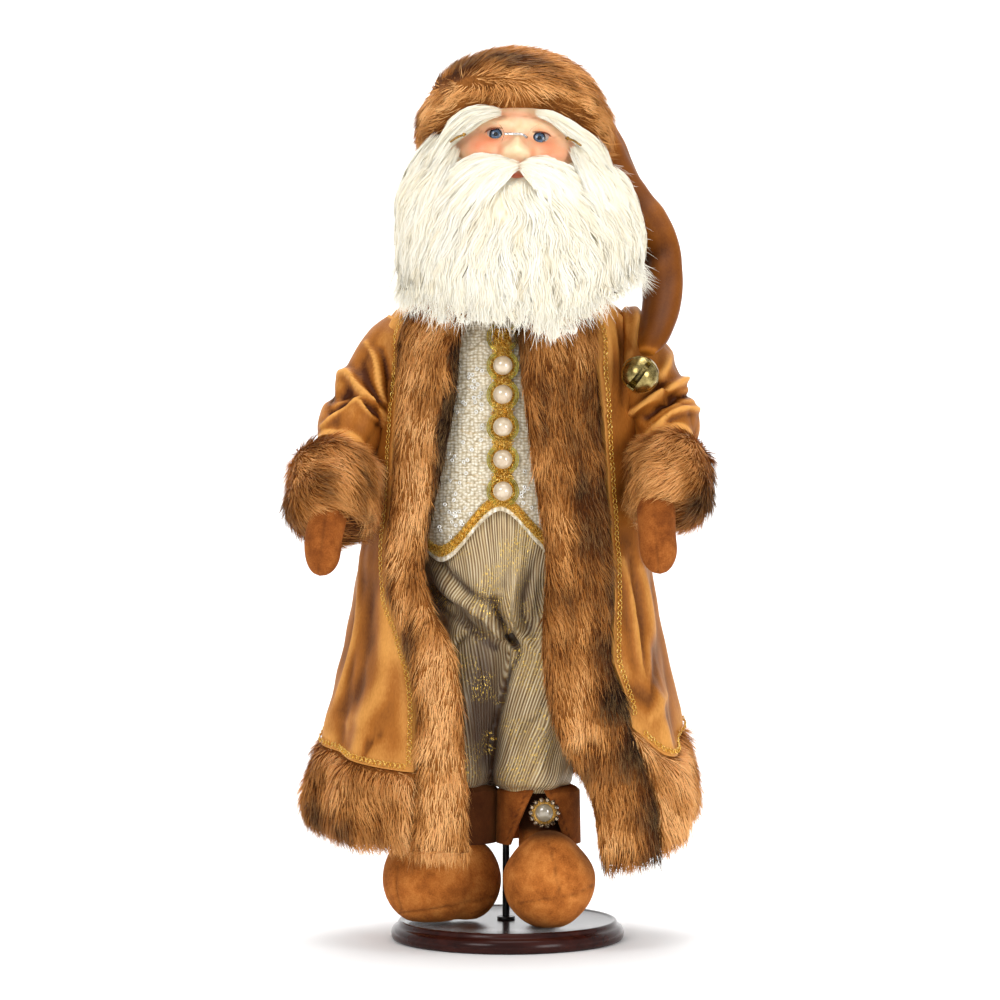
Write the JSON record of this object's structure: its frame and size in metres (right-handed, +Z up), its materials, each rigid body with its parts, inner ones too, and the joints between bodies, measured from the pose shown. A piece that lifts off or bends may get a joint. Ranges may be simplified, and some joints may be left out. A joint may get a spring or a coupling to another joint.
{
  "type": "dressed santa doll on a stand",
  "caption": "Standing stuffed Santa doll in a long fur-trimmed velvet coat, with a tasselled fur hat, on a rod and a round turned wooden base.",
  "frame": {"origin": "centre of the flat underside of the stand's round base", "axes": "+Z up, the doll faces -Y, +X is the doll's own left side"},
  "size_m": [0.2859, 0.1871, 0.597],
  "materials": {
    "mahogany": "dark red-brown, high gloss",
    "black_metal": "black, satin",
    "suede": "orange-brown suede, napped",
    "coat_velvet": "golden caramel velvet",
    "hat_velvet": "red-brown velvet",
    "brown_fur": "brown artificial fur with dark patches",
    "white_wool": "cream-white combed wool",
    "skin": "matt painted face with rosy cheeks",
    "eye_blue": "glossy, blue-grey iris",
    "boucle_cloth": "ivory boucle with sequins",
    "white_piping": "white cloth piping",
    "crinkle_cloth": "champagne crinkle cloth with gold thread",
    "gold_braid": "gold lurex braid",
    "pearl": "ivory pearl",
    "rhinestones": "dark silver setting with small stones",
    "cabochon": "grey-ivory pearl",
    "old_brass": "dark antique brass",
    "clear_lens": "clear",
    "silver_wire": "polished",
    "gold_wire": "polished"
  },
  "bodies": {
    "root": {"beard": "white_wool", "boot_cuff_left": "suede", "boot_cuff_right": "suede", "boot_left": "suede", "boot_right": "suede", "brooch_setting_left": "rhinestones", "brooch_setting_right": "rhinestones", "brooch_stone_left": "cabochon", "brooch_stone_right": "cabochon", "brow_left": "white_wool", "brow_right": "white_wool", "button_band": "gold_braid", "coat": "coat_velvet", "eye_left": "eye_blue", "eye_right": "eye_blue", "front_braid_left": "gold_braid", "front_braid_right": "gold_braid", "fur_cuff_left": "brown_fur", "fur_cuff_right": "brown_fur", "fur_hem": "brown_fur", "fur_trim_left": "brown_fur", "fur_trim_right": "brown_fur", "hair": "white_wool", "hat_fur": "brown_fur", "hat_tail": "hat_velvet", "head": "skin", "hem_braid": "gold_braid", "jingle_bell": "old_brass", "mitten_left": "suede", "mitten_right": "suede", "moustache": "white_wool", "pearl_button_1": "pearl", "pearl_button_2": "pearl", "pearl_button_3": "pearl", "pearl_button_4": "pearl", "pearl_button_5": "pearl", "spectacle_bridge": "silver_wire", "spectacle_lens_left": "clear_lens", "spectacle_lens_right": "clear_lens", "spectacle_temple_left": "gold_wire", "spectacle_temple_right": "gold_wire", "stand_base": "mahogany", "stand_rod": "black_metal", "stand_washer": "black_metal", "trousers": "crinkle_cloth", "vest": "boucle_cloth", "vest_hem_braid": "gold_braid", "vest_hem_piping": "white_piping"}
  },
  "joints": []
}
